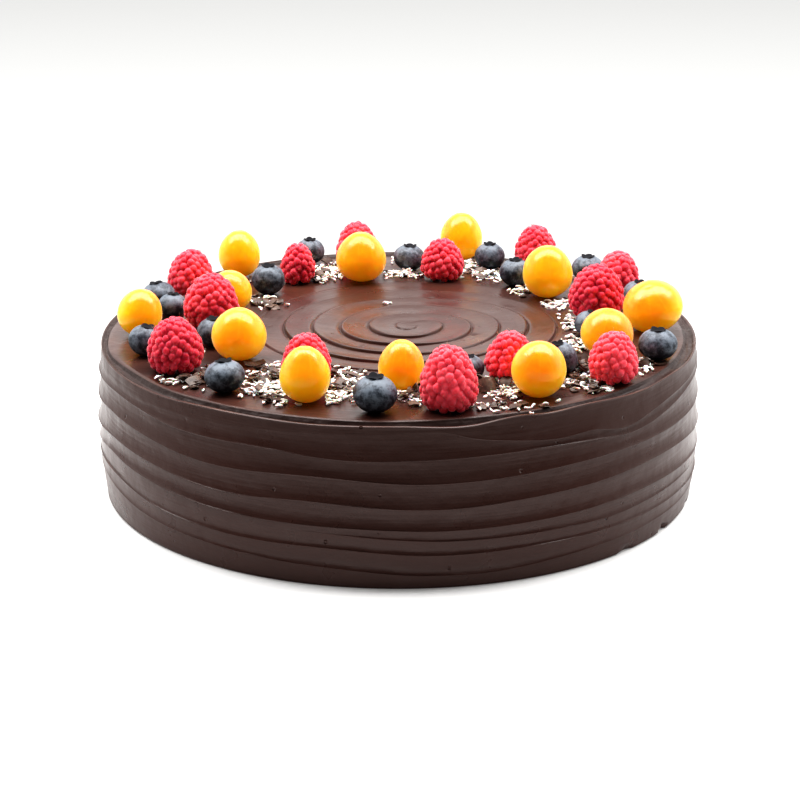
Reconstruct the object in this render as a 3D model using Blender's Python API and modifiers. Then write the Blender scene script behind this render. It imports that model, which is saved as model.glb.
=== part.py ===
"""A round chocolate cake: ganache laid on in wide spatula strokes round the side and in a swirl
on top, a ring of physalis, raspberries and blueberries, and flakes of chocolate and coconut
between them. The cake is uncut, so it is one solid, and each fruit is a solid of its own."""
import math
import random

import bmesh
import bpy
from mathutils import Euler, Vector

MM = 0.001
TURN = 2 * math.pi

# Driving sizes of the cake, in metres
TOP_HEIGHT = 56.3 * MM
TOP_RISE = 1.2 * MM
TOP_HIGH_SIDE = math.radians(300)
RIM_RADIUS = 106.2 * MM
BELLY_RADIUS = 107.3 * MM
BELLY_HEIGHT = 24 * MM
FOOT_RADIUS = 105.4 * MM
FOOT_ROUNDING = 0.8 * MM
SIDE_COLUMNS = 64

# The rough shoulder between the flat top and the rim: its width in mm at places round the cake,
# each given as a clock angle in degrees, where 270 is the front. It drops at once, and climbs
# again to a thin rim: shares of its width at the two ends of the dip, and the dip's depth.
SHOULDER_WIDTHS = (
    (0, 4.6), (45, 4.2), (90, 4.0), (135, 4.0), (180, 2.6), (193, 2.6), (206, 4.9), (222, 5.5),
    (232, 6.7), (244, 7.2), (270, 7.2), (282, 8.0), (298, 7.4), (311, 6.4), (325, 5.4),
)
DIP_SPAN = (0.16, 0.86)
DIP_DEPTH = 1.1 * MM

# Height of the rim in mm at places round the cake, and under it the lower edges of the spatula's
# strokes. Between these places each one is a smooth curve.
RIM = (
    (0, 56.0), (45, 55.4), (90, 55.6), (135, 55.2), (180, 55.2), (196, 55.2), (214, 55.5), (223, 56.0),
    (230, 56.7), (256, 57.0), (270, 57.5), (284, 57.0), (289, 58.3), (293, 58.8), (297, 58.1), (306, 58.5),
    (316, 57.3), (322, 56.9), (332, 57.2), (341, 56.1),
)
STROKES = (
    ((0, 51.0), (45, 50.6), (90, 50.8), (135, 50.6), (180, 51.2), (225, 52.0), (264, 54.8), (279, 55.0),
     (283, 52.9), (289, 51.1), (301, 48.9), (307, 49.2), (316, 46.6), (323, 48.2), (330, 49.8), (343, 50.7)),
    ((0, 46.8), (45, 46.0), (90, 46.4), (135, 46.2), (180, 46.2), (193, 47.2), (204, 48.3), (213, 48.1),
     (223, 47.1), (247, 47.2), (260, 45.8), (274, 46.2), (299, 46.5), (308, 45.6), (317, 43.9),
     (323, 44.4), (331, 46.2), (343, 48.3)),
    ((0, 38.0), (45, 38.5), (90, 38.0), (135, 38.6), (180, 37.2), (203, 40.5), (213, 40.0), (233, 38.0),
     (256, 39.5), (274, 37.9), (302, 39.1), (323, 39.1), (349, 38.6)),
    ((0, 27.2), (45, 29.0), (90, 30.0), (135, 29.2), (180, 27.6), (205, 31.8), (220, 30.8), (236, 29.3),
     (253, 30.7), (278, 28.9), (293, 30.0), (311, 30.7), (323, 31.5), (337, 30.6)),
    ((0, 19.6), (45, 22.4), (90, 22.0), (135, 21.6), (180, 21.0), (203, 25.6), (214, 24.7), (231, 22.8),
     (264, 22.1), (279, 21.3), (302, 21.7), (324, 22.3), (337, 21.9)),
    ((0, 14.6), (45, 18.0), (90, 17.8), (135, 18.2), (180, 18.6), (225, 19.6), (260, 19.4), (276, 17.7),
     (302, 16.9), (312, 16.4), (324, 16.9), (337, 17.2)),
    ((0, 11.2), (45, 12.6), (90, 13.4), (135, 14.2), (180, 16.8), (202, 18.2), (216, 16.0), (236, 14.4),
     (260, 14.3), (274, 12.7), (297, 12.5), (317, 12.1), (342, 11.9)),
    ((0, 7.4), (45, 6.2), (90, 6.6), (135, 8.0), (180, 12.6), (193, 13.4), (214, 10.5), (244, 8.2),
     (260, 7.0), (274, 5.3), (285, 4.7), (302, 6.4), (318, 7.2)),
)
# How far in mm the ganache stands out at each stroke's lower edge where the stroke is wide, and the
# places round the cake that the edge fades between
CREST_HEIGHTS = (0.5, 0.7, 0.7, 0.8, 0.7, 0.5, 0.7, 0.6)
ALL_ROUND = None
CREST_SPANS = (
    (278, 420), ALL_ROUND, ALL_ROUND, ALL_ROUND, ALL_ROUND, (250, 440), ALL_ROUND, ALL_ROUND,
)
CREST_FADE = math.radians(22)
WIDE_STROKE = 7 * MM
# Across one hollow stroke, from its upper edge down: share of its width, share of the crest
STROKE_PROFILE = ((0.05, -0.15), (0.62, 0.0))

# Swirl on the top
SWIRL_CENTRE = Vector((3.5 * MM, 8 * MM))
# The middle of the fan inside the first turn, off the line on which the rows begin
SWIRL_MIDDLE = Vector((0.2 * MM, 1.2 * MM))
SWIRL_PITCH = 10.2 * MM
SWIRL_PASSES = 5
SWIRL_COLUMNS = 48
SWIRL_DEPTH = 0.9 * MM
SWIRL_START = 0.22
# Across one pass of the spatula, outward from a narrow groove: share of the pitch, share of the
# depth. The pass rises gently to a crest, and drops from it into the next groove.
SWIRL_PROFILE = ((0.0, -0.7), (0.12, 0.0), (0.88, 0.35))
# The spatula moves outward mostly between the back and the right side of the cake
SWIRL_STEP_SHARE = 0.65
SWIRL_STEP_TURN = TURN / 4
# The hand's wobble: its size, waves in a turn, and how fast it changes from pass to pass
SWIRL_WOBBLE = 0.5 * MM
WOBBLE_WAVES = 3
WOBBLE_CHANGE = 2.1
# How quickly the grooves fade into the smooth ring outside, for each pass
SWIRL_FADE = 0.6

# Chips knocked out of the lower edge: clock angle in degrees, and half sizes along the edge,
# into the cake and up, in mm
CHIPS = ((331, 2.6, 2.0, 3.0), (318, 3.6, 1.0, 2.6), (346, 2.2, 0.8, 2.2))

# Fruits: x, y from the cake's centre, width, height, then how far the top leans to +x and to +y.
# All lengths are in mm and the leans in degrees.
PHYSALIS = (
    (-60.5, 74.6, 16.2, 17.5, 0, 4),
    (-61.8, 30.0, 16.4, 14.6, 6, 0),
    (-92.2, -1.0, 16.3, 16.8, 16, 6),
    (-55.6, -29.9, 19.6, 18.2, 4, -3),
    (-14.2, 68.1, 19.0, 18.4, -2, 2),
    (24.2, 97.2, 16.8, 17.8, 0, 0),
    (-31.3, -77.4, 17.2, 18.9, 2, -3),
    (0.9, -65.1, 16.0, 17.0, 4, 0),
    (55.3, 45.4, 18.8, 19.1, -4, 3),
    (47.1, -73.2, 18.8, 19.0, 3, -24),
    (90.8, 1.4, 22.2, 17.2, -14, -20),
    (72.8, -27.4, 18.6, 16.4, 4, -12),
)
RASPBERRIES = (
    (-77.2, 48.4, 17.0, 19.2, 3, 0),
    (-67.3, 9.0, 19.6, 20.4, 6, -6),
    (-77.1, -42.3, 19.4, 19.8, -5, -4),
    (-38.2, 66.4, 12.8, 16.2, 0, 0),
    (-15.9, 89.6, 15.8, 18.4, 0, 0),
    (16.6, 70.2, 16.2, 16.6, 3, 0),
    (16.6, -85.6, 19.3, 23.2, 0, 0),
    (37.8, -57.2, 16.4, 18.6, 9, 0),
    (52.5, 82.2, 15.8, 18.8, 0, 0),
    (71.8, 18.0, 19.6, 20.8, 5, -3),
    (81.8, 50.2, 16.0, 16.4, 8, 0),
    (73.4, -57.6, 16.8, 18.8, 3, 0),
    (-31.6, -57.6, 16.6, 18.8, 0, 0),
)
BLUEBERRIES = (
    (-88.4, 33.0, 12.8, 9.8, -10, 6),
    (-82.2, 22.4, 11.0, 8.4, 4, 4),
    (-88.6, -24.6, 12.2, 10.9, 10, 0),
    (-65.2, -14.2, 12.4, 10.2, 0, 0),
    (-58.8, -66.6, 14.4, 11.0, -4, 6),
    (-48.6, 50.8, 12.8, 11.2, 0, 0),
    (-34.2, 92.4, 11.4, 9.6, 0, 0),
    (4.0, 82.8, 12.0, 9.6, 4, 0),
    (34.8, 83.4, 11.6, 10.0, 0, 0),
    (43.8, 60.2, 12.2, 10.2, 0, 0),
    (71.3, 66.4, 12.6, 9.6, 0, 0),
    (88.0, 31.0, 11.8, 9.6, 8, 0),
    (68.6, -7.4, 12.4, 9.8, 12, 0),
    (90.2, -32.8, 13.8, 10.9, 0, 0),
    (55.4, -50.4, 12.2, 11.8, -14, -4),
    (24.2, -56.4, 10.4, 9.0, -4, 0),
    (-7.8, -88.8, 15.4, 12.4, 0, 0),
)
RESTING_GAP = 0.3 * MM
PHYSALIS_COLUMNS = 12
PHYSALIS_ROWS = 8
PHYSALIS_TAPER = 0.10
RASPBERRY_COLUMNS = 14
RASPBERRY_ROWS = 9
RASPBERRY_TAPER = 0.24
# Below 1, this makes the raspberry's sides fuller than a ball's
RASPBERRY_FULLNESS = 0.8
# Share of the raspberry's height that its flat foot takes off, and how far its drupelets stand out
RASPBERRY_FOOT = 0.06
DRUPELET_HEIGHT = 0.9 * MM
DRUPELET_OUTWARD = 0.75
DRUPELET_UPWARD = 0.35
BLUEBERRY_COLUMNS = 10
BLUEBERRY_ROWS = 8
# The blueberry's crown: height of its lobes and depth of its hollow as shares of the berry's height,
# and its radius as a share of the berry's width
CROWN_HEIGHT = 0.07
CROWN_HOLLOW = 0.06
CROWN_RADIUS = 0.17
# Height of the crown between its lobes, as a share of theirs
CROWN_NOTCH = 0.3
# Each fruit is turned this share of a turn further than the last, so that no two look alike
SPIN_STEP = 0.382

# Flakes of chocolate and shreds of coconut, strewn between the fruits
FLAKE_SEED = 11
FLAKE_COUNT = 22
FLAKE_LENGTHS = (4.0 * MM, 7.5 * MM)
FLAKE_WIDTHS = (2.2 * MM, 3.8 * MM)
FLAKE_THICKNESS = 0.7 * MM
FLAKE_CURLS = (0.3, 1.1)
FLAKE_LIFT = 0.25 * MM
FLAKE_TIP = math.radians(22)
SHRED_COUNT = 26
SHRED_SIZE = (2.8 * MM, 0.9 * MM, 0.8 * MM)
SHRED_LIFT = 0.1 * MM
SHRED_TIP = math.radians(8)
STREWN_CLEARANCE = 0.9 * MM
STREWN_REACH = 94 * MM
# The patches that they lie in: x, y and radius in mm
PATCHES = (
    (-41, -55, 13), (-33, -83, 8), (-18, -62, 14), (4, -72, 10), (34, -64, 13), (46, -88, 8), (61, -50, 13),
    (86, -44, 9), (64, -16, 11), (62, 10, 11), (58, 34, 8), (50, 56, 9), (-68, -56, 13), (-76, -20, 12),
    (-26, 78, 11), (6, 88, 9), (32, 76, 12), (-50, 66, 11), (-50, 38, 9), (62, 70, 9), (78, 36, 7),
)

GANACHE = (0.050, 0.024, 0.018)
PHYSALIS_SKIN = (0.90, 0.42, 0.02)
RASPBERRY_FLESH = (0.62, 0.02, 0.05)
BLUEBERRY_SKIN = (0.045, 0.060, 0.11)


def make_material(name, colour, roughness):
    """Return a plain material of this colour."""
    material = bpy.data.materials.new(name)
    material.use_nodes = True
    shader = material.node_tree.nodes["Principled BSDF"]
    shader.inputs["Base Color"].default_value = (*colour, 1.0)
    shader.inputs["Roughness"].default_value = roughness
    shader.inputs["Metallic"].default_value = 0.0
    return material


def new_collection(name):
    """Return a new collection in the scene."""
    collection = bpy.data.collections.new(name)
    bpy.context.scene.collection.children.link(collection)
    return collection


def make_object(name, shape, material, collection):
    """Turn a finished bmesh into an object of its own."""
    bmesh.ops.recalc_face_normals(shape, faces=shape.faces)
    mesh = bpy.data.meshes.new(name)
    shape.to_mesh(mesh)
    shape.free()
    mesh.materials.append(material)
    piece = bpy.data.objects.new(name, mesh)
    collection.objects.link(piece)
    return piece


def round_the_cake(stations, angle):
    """Read a value from its places round the cake, joined by a smooth closed curve."""
    clock = math.degrees(angle) % 360
    index = max(number for number, station in enumerate(stations) if station[0] <= clock)
    near = [stations[(index + step) % len(stations)] for step in (-1, 0, 1, 2)]
    gaps = [(right[0] - left[0]) % 360 for left, right in zip(near, near[1:])]
    slopes = [(right[1] - left[1]) / gap for left, right, gap in zip(near, near[1:], gaps)]
    leaving = (slopes[0] * gaps[1] + slopes[1] * gaps[0]) / (gaps[0] + gaps[1])
    arriving = (slopes[1] * gaps[2] + slopes[2] * gaps[1]) / (gaps[1] + gaps[2])
    t = (clock - near[1][0]) / gaps[1]
    rise = t * t * (3 - 2 * t)
    bend = t * (1 - t) * ((1 - t) * leaving - t * arriving)
    return near[1][1] + (near[2][1] - near[1][1]) * rise + gaps[1] * bend


def crest_strength(span, angle):
    """Return 1 where a stroke's edge stands out fully, and less where it fades in or out."""
    if span is ALL_ROUND:
        return 1.0
    start, end = (math.radians(value) for value in span)
    along = (angle - start) % TURN
    left = (end - start) - along
    return max(0.0, min(1.0, along / CREST_FADE, left / CREST_FADE))


def top_height(x, y):
    """Return the height of the smooth top, which rises a little towards one side."""
    across = x * math.cos(TOP_HIGH_SIDE) + y * math.sin(TOP_HIGH_SIDE)
    return TOP_HEIGHT + TOP_RISE * across / RIM_RADIUS


def side_radius(height):
    """Return the radius of the side without its strokes: widest a third of the way up."""
    if height < BELLY_HEIGHT:
        share = height / BELLY_HEIGHT
        return FOOT_RADIUS + (BELLY_RADIUS - FOOT_RADIUS) * math.sin(share * TURN / 4)
    share = min(1.0, (height - BELLY_HEIGHT) / (TOP_HEIGHT - BELLY_HEIGHT))
    return BELLY_RADIUS + (RIM_RADIUS - BELLY_RADIUS) * share * share


def side_column(angle):
    """Return (radius, height) pairs down one column of the side, from the top's edge to the foot."""
    rim = round_the_cake(RIM, angle) * MM
    width = round_the_cake(SHOULDER_WIDTHS, angle) * MM
    inner = RIM_RADIUS - width
    plane = top_height(inner * math.cos(angle), inner * math.sin(angle))
    column = [(inner, plane)]
    for across in DIP_SPAN:
        column.append((inner + across * width, plane + across * (rim - plane) - DIP_DEPTH))
    column.append((RIM_RADIUS, rim))
    upper = rim
    for stations, crest_height, span in zip(STROKES, CREST_HEIGHTS, CREST_SPANS):
        lower = round_the_cake(stations, angle) * MM
        crest = crest_height * MM * min(1.0, (upper - lower) / WIDE_STROKE)
        for across, share in STROKE_PROFILE:
            height = upper + (lower - upper) * across
            column.append((side_radius(height) + share * crest, height))
        column.append((side_radius(lower) + crest * crest_strength(span, angle), lower))
        upper = lower
    column.append((side_radius(FOOT_ROUNDING), FOOT_ROUNDING))
    column.append((FOOT_RADIUS - FOOT_ROUNDING, 0.0))
    return column


def add_side(shape):
    """Add the side, the shoulder and the flat base. Return the edges round the top."""
    columns = []
    for step in range(SIDE_COLUMNS):
        angle = TURN * step / SIDE_COLUMNS
        columns.append([
            shape.verts.new((radius * math.cos(angle), radius * math.sin(angle), height))
            for radius, height in side_column(angle)
        ])
    top_edges = []
    for step, here in enumerate(columns):
        beside = columns[(step + 1) % SIDE_COLUMNS]
        for upper in range(len(here) - 1):
            shape.faces.new((here[upper], here[upper + 1], beside[upper + 1], beside[upper]))
        top_edges.append(shape.edges.get((here[0], beside[0])))
    shape.faces.new([column[-1] for column in columns])
    return top_edges


def swirl_drift(angle):
    """Return the share of the pitch, from 1 down to 0 over a turn, that the spatula has moved."""
    turned = angle / TURN
    step = min(1.0, angle / SWIRL_STEP_TURN)
    eased = step * step * (3 - 2 * step)
    return 1.0 - (1 - SWIRL_STEP_SHARE) * turned - SWIRL_STEP_SHARE * eased


def swirl_point(row, angle):
    """Return one point of the swirl, which winds outward clockwise as seen from above."""
    across, depth_share = SWIRL_PROFILE[row % len(SWIRL_PROFILE)]
    passes = row // len(SWIRL_PROFILE) + across + swirl_drift(angle)
    wobble = SWIRL_WOBBLE * math.sin(WOBBLE_WAVES * angle) * math.sin(WOBBLE_CHANGE * passes)
    radius = SWIRL_PITCH * (passes + SWIRL_START) + wobble
    x = SWIRL_CENTRE.x + radius * math.cos(angle)
    y = SWIRL_CENTRE.y + radius * math.sin(angle)
    fade = min(1.0, passes, SWIRL_FADE * (SWIRL_PASSES + 1 - passes))
    return x, y, top_height(x, y) + SWIRL_DEPTH * depth_share * fade


def add_swirl(shape):
    """Add the swirl as rows that wind outward. Return the edges round its outside."""
    rows_in_pass = len(SWIRL_PROFILE)
    row_count = rows_in_pass * SWIRL_PASSES + 1
    rows = []
    for row in range(row_count):
        angles = [TURN * step / SWIRL_COLUMNS for step in range(SWIRL_COLUMNS)]
        rows.append([shape.verts.new(swirl_point(row, angle)) for angle in angles])

    def vertex(row, step):
        """Return a row's vertex. A full turn on, a row carries on as one nearer the centre."""
        if step < SWIRL_COLUMNS:
            return rows[row][step]
        return rows[row - rows_in_pass][0]

    for row in range(row_count - 1):
        last = SWIRL_COLUMNS if row >= rows_in_pass else SWIRL_COLUMNS - 1
        for step in range(last):
            corners = (
                vertex(row, step), vertex(row + 1, step),
                vertex(row + 1, step + 1), vertex(row, step + 1),
            )
            shape.faces.new(corners)
    # the middle, a fan inside the first row
    x, y = SWIRL_CENTRE + SWIRL_MIDDLE
    middle = shape.verts.new((x, y, top_height(x, y)))
    inside = rows[0] + [rows[row][-1] for row in range(1, rows_in_pass)]
    inside.append(rows[rows_in_pass][-1])
    for here, beside in zip(inside, inside[1:] + inside[:1]):
        shape.faces.new((middle, here, beside))
    # the last row's far end steps back in to where the row began
    outside = rows[-1] + [rows[row][0] for row in range(row_count - 1 - rows_in_pass, row_count - 1)]
    return [shape.edges.get(pair) for pair in zip(outside, outside[1:] + outside[:1])]


def make_chip_cutters(collection, material):
    """Make the rounded shapes that are taken out of the lower edge."""
    for number, (clock, along, into, up) in enumerate(CHIPS):
        shape = bmesh.new()
        bmesh.ops.create_icosphere(shape, subdivisions=1, radius=1.0)
        bmesh.ops.scale(shape, vec=(into * MM, along * MM, up * MM), verts=shape.verts)
        cutter = make_object(f"chip_{number}", shape, material, collection)
        angle = math.radians(clock)
        cutter.location = (FOOT_RADIUS * math.cos(angle), FOOT_RADIUS * math.sin(angle), 0)
        cutter.rotation_euler.z = angle
        cutter.hide_render = True
        cutter.display_type = "WIRE"


def make_flake(draw, name, material, collection):
    """Make one shaving of chocolate: a thin plate, curled along its length."""
    length = draw.uniform(*FLAKE_LENGTHS)
    width = draw.uniform(*FLAKE_WIDTHS)
    curl = draw.uniform(*FLAKE_CURLS)
    shape = bmesh.new()
    bmesh.ops.create_grid(shape, x_segments=2, y_segments=1, size=0.5)
    for vertex in shape.verts:
        turn = vertex.co.x * curl
        radius = length / curl
        vertex.co = (radius * math.sin(turn), vertex.co.y * width, radius * (math.cos(turn) - 1))
    flake = make_object(name, shape, material, collection)
    shell = flake.modifiers.new("thickness", "SOLIDIFY")
    shell.thickness = FLAKE_THICKNESS
    shell.offset = 0
    return flake


def make_shred(name, material, collection):
    """Make one shred of coconut: a short thin bar."""
    shape = bmesh.new()
    bmesh.ops.create_cube(shape, size=1.0)
    bmesh.ops.scale(shape, vec=SHRED_SIZE, verts=shape.verts)
    return make_object(name, shape, material, collection)


def strew(draw, pieces, fruits):
    """Lay the pieces in their patches, half sunk, clear of the fruits and of each other."""
    taken = [(x * MM, y * MM, 0.5 * width * MM) for x, y, width, *size_and_lean in fruits]
    for piece, reach, lift, tip in pieces:
        free = False
        while not free:
            patch_x, patch_y, spread = draw.choice(PATCHES)
            angle = draw.uniform(0, TURN)
            radius = draw.uniform(0, spread)
            x = (patch_x + radius * math.cos(angle)) * MM
            y = (patch_y + radius * math.sin(angle)) * MM
            free = math.hypot(x, y) < STREWN_REACH and all(
                math.hypot(x - other_x, y - other_y) > reach + other_reach + STREWN_CLEARANCE
                for other_x, other_y, other_reach in taken
            )
        taken.append((x, y, reach))
        piece.location = (x, y, top_height(x, y) + lift)
        piece.rotation_euler = Euler(
            (draw.uniform(-tip, tip), draw.uniform(-tip, tip), draw.uniform(0, TURN))
        )


def make_toppings(collection, material, fruits):
    """Make and strew the flakes and shreds, the largest first."""
    draw = random.Random(FLAKE_SEED)
    pieces = []
    for number in range(FLAKE_COUNT):
        flake = make_flake(draw, f"flake_{number}", material, collection)
        pieces.append((flake, 0.5 * FLAKE_LENGTHS[1], FLAKE_LIFT, FLAKE_TIP))
    for number in range(SHRED_COUNT):
        shred = make_shred(f"shred_{number}", material, collection)
        pieces.append((shred, 0.5 * SHRED_SIZE[0], SHRED_LIFT, SHRED_TIP))
    strew(draw, pieces, fruits)


def apply_with_collection(piece, operation, collection):
    """Join a collection's objects to the piece, or cut them out, and remove the collection."""
    joint = piece.modifiers.new(operation.lower(), "BOOLEAN")
    joint.operand_type = "COLLECTION"
    joint.collection = collection
    joint.operation = operation
    joint.solver = "EXACT"
    evaluated = piece.evaluated_get(bpy.context.evaluated_depsgraph_get())
    mesh = bpy.data.meshes.new_from_object(evaluated)
    piece.modifiers.remove(joint)
    piece.data = mesh
    for operand in list(collection.objects):
        bpy.data.objects.remove(operand)
    bpy.data.collections.remove(collection)


def make_cake(collection, fruits):
    """Make the cake: the side, the swirl, the flat ring between them, chips and toppings."""
    ganache = make_material("ganache", GANACHE, 0.4)
    shape = bmesh.new()
    top_edges = add_side(shape)
    swirl_edges = add_swirl(shape)
    bmesh.ops.triangle_fill(shape, use_beauty=True, edges=top_edges + swirl_edges)
    bmesh.ops.triangulate(shape, faces=shape.faces)
    cake = make_object("cake", shape, ganache, collection)
    chips = new_collection("chips")
    make_chip_cutters(chips, ganache)
    apply_with_collection(cake, "DIFFERENCE", chips)
    toppings = new_collection("toppings")
    make_toppings(toppings, ganache, fruits)
    apply_with_collection(cake, "UNION", toppings)


def shaped_sphere(columns, rows, place):
    """Make a ball whose points move to the radius and height that place(polar, row, column) gives."""
    shape = bmesh.new()
    bmesh.ops.create_uvsphere(shape, u_segments=columns, v_segments=rows, radius=1.0)
    for vertex in shape.verts:
        polar = math.acos(max(-1.0, min(1.0, vertex.co.z)))
        azimuth = math.atan2(vertex.co.y, vertex.co.x)
        row = round(polar / math.pi * rows)
        column = round(azimuth / TURN * columns)
        radius, height = place(polar, row, column)
        vertex.co = (radius * math.cos(azimuth), radius * math.sin(azimuth), height)
    return shape


def physalis_shape(width, height):
    """A smooth ball, a little narrower at the top."""
    def place(polar, row, column):
        up = math.cos(polar)
        radius = 0.5 * width * math.sin(polar) * (1 - PHYSALIS_TAPER * up)
        return radius, 0.5 * height * up
    return shaped_sphere(PHYSALIS_COLUMNS, PHYSALIS_ROWS, place)


def raspberry_shape(width, height):
    """A blunt cone with a flat foot, whose drupelets stand out on every other point."""
    inner_width = width - DRUPELET_HEIGHT
    inner_height = height - DRUPELET_HEIGHT
    foot = (RASPBERRY_FOOT - 0.5) * height

    def place(polar, row, column):
        up = math.cos(polar)
        level = 0.5 * inner_height * up
        if row in (0, RASPBERRY_ROWS):
            return 0.0, max(foot, level)
        bump = DRUPELET_HEIGHT if (row + column) % 2 else 0.0
        if up > 0:
            level += DRUPELET_UPWARD * bump
        radius = 0.5 * inner_width * math.sin(polar) ** RASPBERRY_FULLNESS * (1 - RASPBERRY_TAPER * up)
        return radius + DRUPELET_OUTWARD * bump * math.sin(polar), max(foot, level)
    return shaped_sphere(RASPBERRY_COLUMNS, RASPBERRY_ROWS, place)


def blueberry_shape(width, height):
    """A flattened ball with a star-shaped crown round a small hollow."""
    crown = CROWN_HEIGHT * height
    shoulder = 0.5 * height - crown

    def place(polar, row, column):
        if row == 0:
            return 0.0, shoulder - CROWN_HOLLOW * height
        if row == 1:
            lobe = crown if column % 2 else CROWN_NOTCH * crown
            return CROWN_RADIUS * width, shoulder + lobe
        half = 0.5 * (height - crown)
        return 0.5 * width * math.sin(polar), shoulder - half + half * math.cos(polar)
    return shaped_sphere(BLUEBERRY_COLUMNS, BLUEBERRY_ROWS, place)


def rest_on_top(fruit):
    """Lower a fruit until its lowest point stands just clear of the cake's top."""
    turned = fruit.rotation_euler.to_matrix()
    points = [turned @ vertex.co + fruit.location for vertex in fruit.data.vertices]
    clearance = min(point.z - top_height(point.x, point.y) for point in points)
    fruit.location.z -= clearance - RESTING_GAP


def make_fruits(kind, places, make_shape, material, collection):
    """Make one kind of fruit at each of its places, each turned its own way."""
    for number, (x, y, width, height, lean_x, lean_y) in enumerate(places, start=1):
        shape = make_shape(width * MM, height * MM)
        fruit = make_object(f"{kind}_{number:02d}", shape, material, collection)
        fruit.data.shade_smooth()
        fruit.location = (x * MM, y * MM, TOP_HEIGHT + height * MM)
        spin = TURN * (number * SPIN_STEP % 1.0)
        lean = Euler((math.radians(-lean_y), math.radians(lean_x), 0.0)).to_matrix()
        fruit.rotation_euler = (lean @ Euler((0.0, 0.0, spin)).to_matrix()).to_euler()
        rest_on_top(fruit)


def main():
    for old in list(bpy.data.objects):
        bpy.data.objects.remove(old)
    collection = new_collection("chocolate_cake")
    make_cake(collection, PHYSALIS + RASPBERRIES + BLUEBERRIES)
    physalis_skin = make_material("physalis", PHYSALIS_SKIN, 0.3)
    raspberry_flesh = make_material("raspberry", RASPBERRY_FLESH, 0.5)
    blueberry_skin = make_material("blueberry", BLUEBERRY_SKIN, 0.6)
    make_fruits("physalis", PHYSALIS, physalis_shape, physalis_skin, collection)
    make_fruits("raspberry", RASPBERRIES, raspberry_shape, raspberry_flesh, collection)
    make_fruits("blueberry", BLUEBERRIES, blueberry_shape, blueberry_skin, collection)


main()
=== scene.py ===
"""Looks of the chocolate cake: ganache with its strokes and swirl, each fruit in detail, and the
flakes of chocolate and shreds of coconut between them, in a plain pale studio."""
import math
import random
from collections import namedtuple

import bmesh
import bpy
import numpy as np
from mathutils import Euler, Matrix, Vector, noise

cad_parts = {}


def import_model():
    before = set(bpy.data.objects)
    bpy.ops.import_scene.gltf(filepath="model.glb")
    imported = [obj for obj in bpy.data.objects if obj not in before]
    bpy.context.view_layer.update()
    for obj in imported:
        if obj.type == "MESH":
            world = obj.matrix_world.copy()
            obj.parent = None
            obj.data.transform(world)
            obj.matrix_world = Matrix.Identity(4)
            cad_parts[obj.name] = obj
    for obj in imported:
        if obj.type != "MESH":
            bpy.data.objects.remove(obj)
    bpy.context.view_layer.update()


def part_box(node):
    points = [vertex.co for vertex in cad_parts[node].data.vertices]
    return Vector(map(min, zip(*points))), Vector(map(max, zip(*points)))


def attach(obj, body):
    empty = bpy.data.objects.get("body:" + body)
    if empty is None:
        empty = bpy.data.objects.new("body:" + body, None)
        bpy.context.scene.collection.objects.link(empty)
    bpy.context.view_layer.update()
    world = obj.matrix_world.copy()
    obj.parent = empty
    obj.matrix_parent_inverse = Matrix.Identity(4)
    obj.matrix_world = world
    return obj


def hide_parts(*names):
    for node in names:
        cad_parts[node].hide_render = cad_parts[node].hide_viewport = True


MM = 0.001
TURN = 2 * math.pi
BODY = "root"

# Camera, in metres: it looks along +Y and down, as the photograph does
CAMERA_PLACE = (0.0005, -1.09445, 0.40344)
CAMERA_DOWN = math.radians(18.8)
CAMERA_LENS = 144.19
SENSOR_WIDTH = 36
# Floor, in metres: its size, and the distances from the cake's middle that its white fades to painted
# shade between
FLOOR_SIZE = 16.0
FLOOR_EDGES = (0.15, 0.24)
# The lamp over the cake: its place and size in metres, and the light from each part of it
LAMP_PLACE = (0.0, 0.16, 0.86)
LAMP_SIZE = (2.0, 0.56)
LAMP_RADIANCE = 5.6
# Light of the surroundings before and behind the cake, and the directions it changes between
SURROUNDINGS = (0.14, 1.25)
SURROUNDINGS_EDGES = (-0.25, 0.0)

# Cake sizes, as in the solids, in mm here and below unless another unit is named
TOP_HEIGHT = 56.3
TOP_RISE = 1.2
TOP_HIGH_SIDE = math.radians(300)
RIM_RADIUS = 106.2
BELLY_RADIUS = 107.3
BELLY_HEIGHT = 24
FOOT_RADIUS = 105.4
FOOT_ROUNDING = 0.8
COLUMNS = 370
# Points nearer than this are one
SAME_PLACE = 0.002

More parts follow.
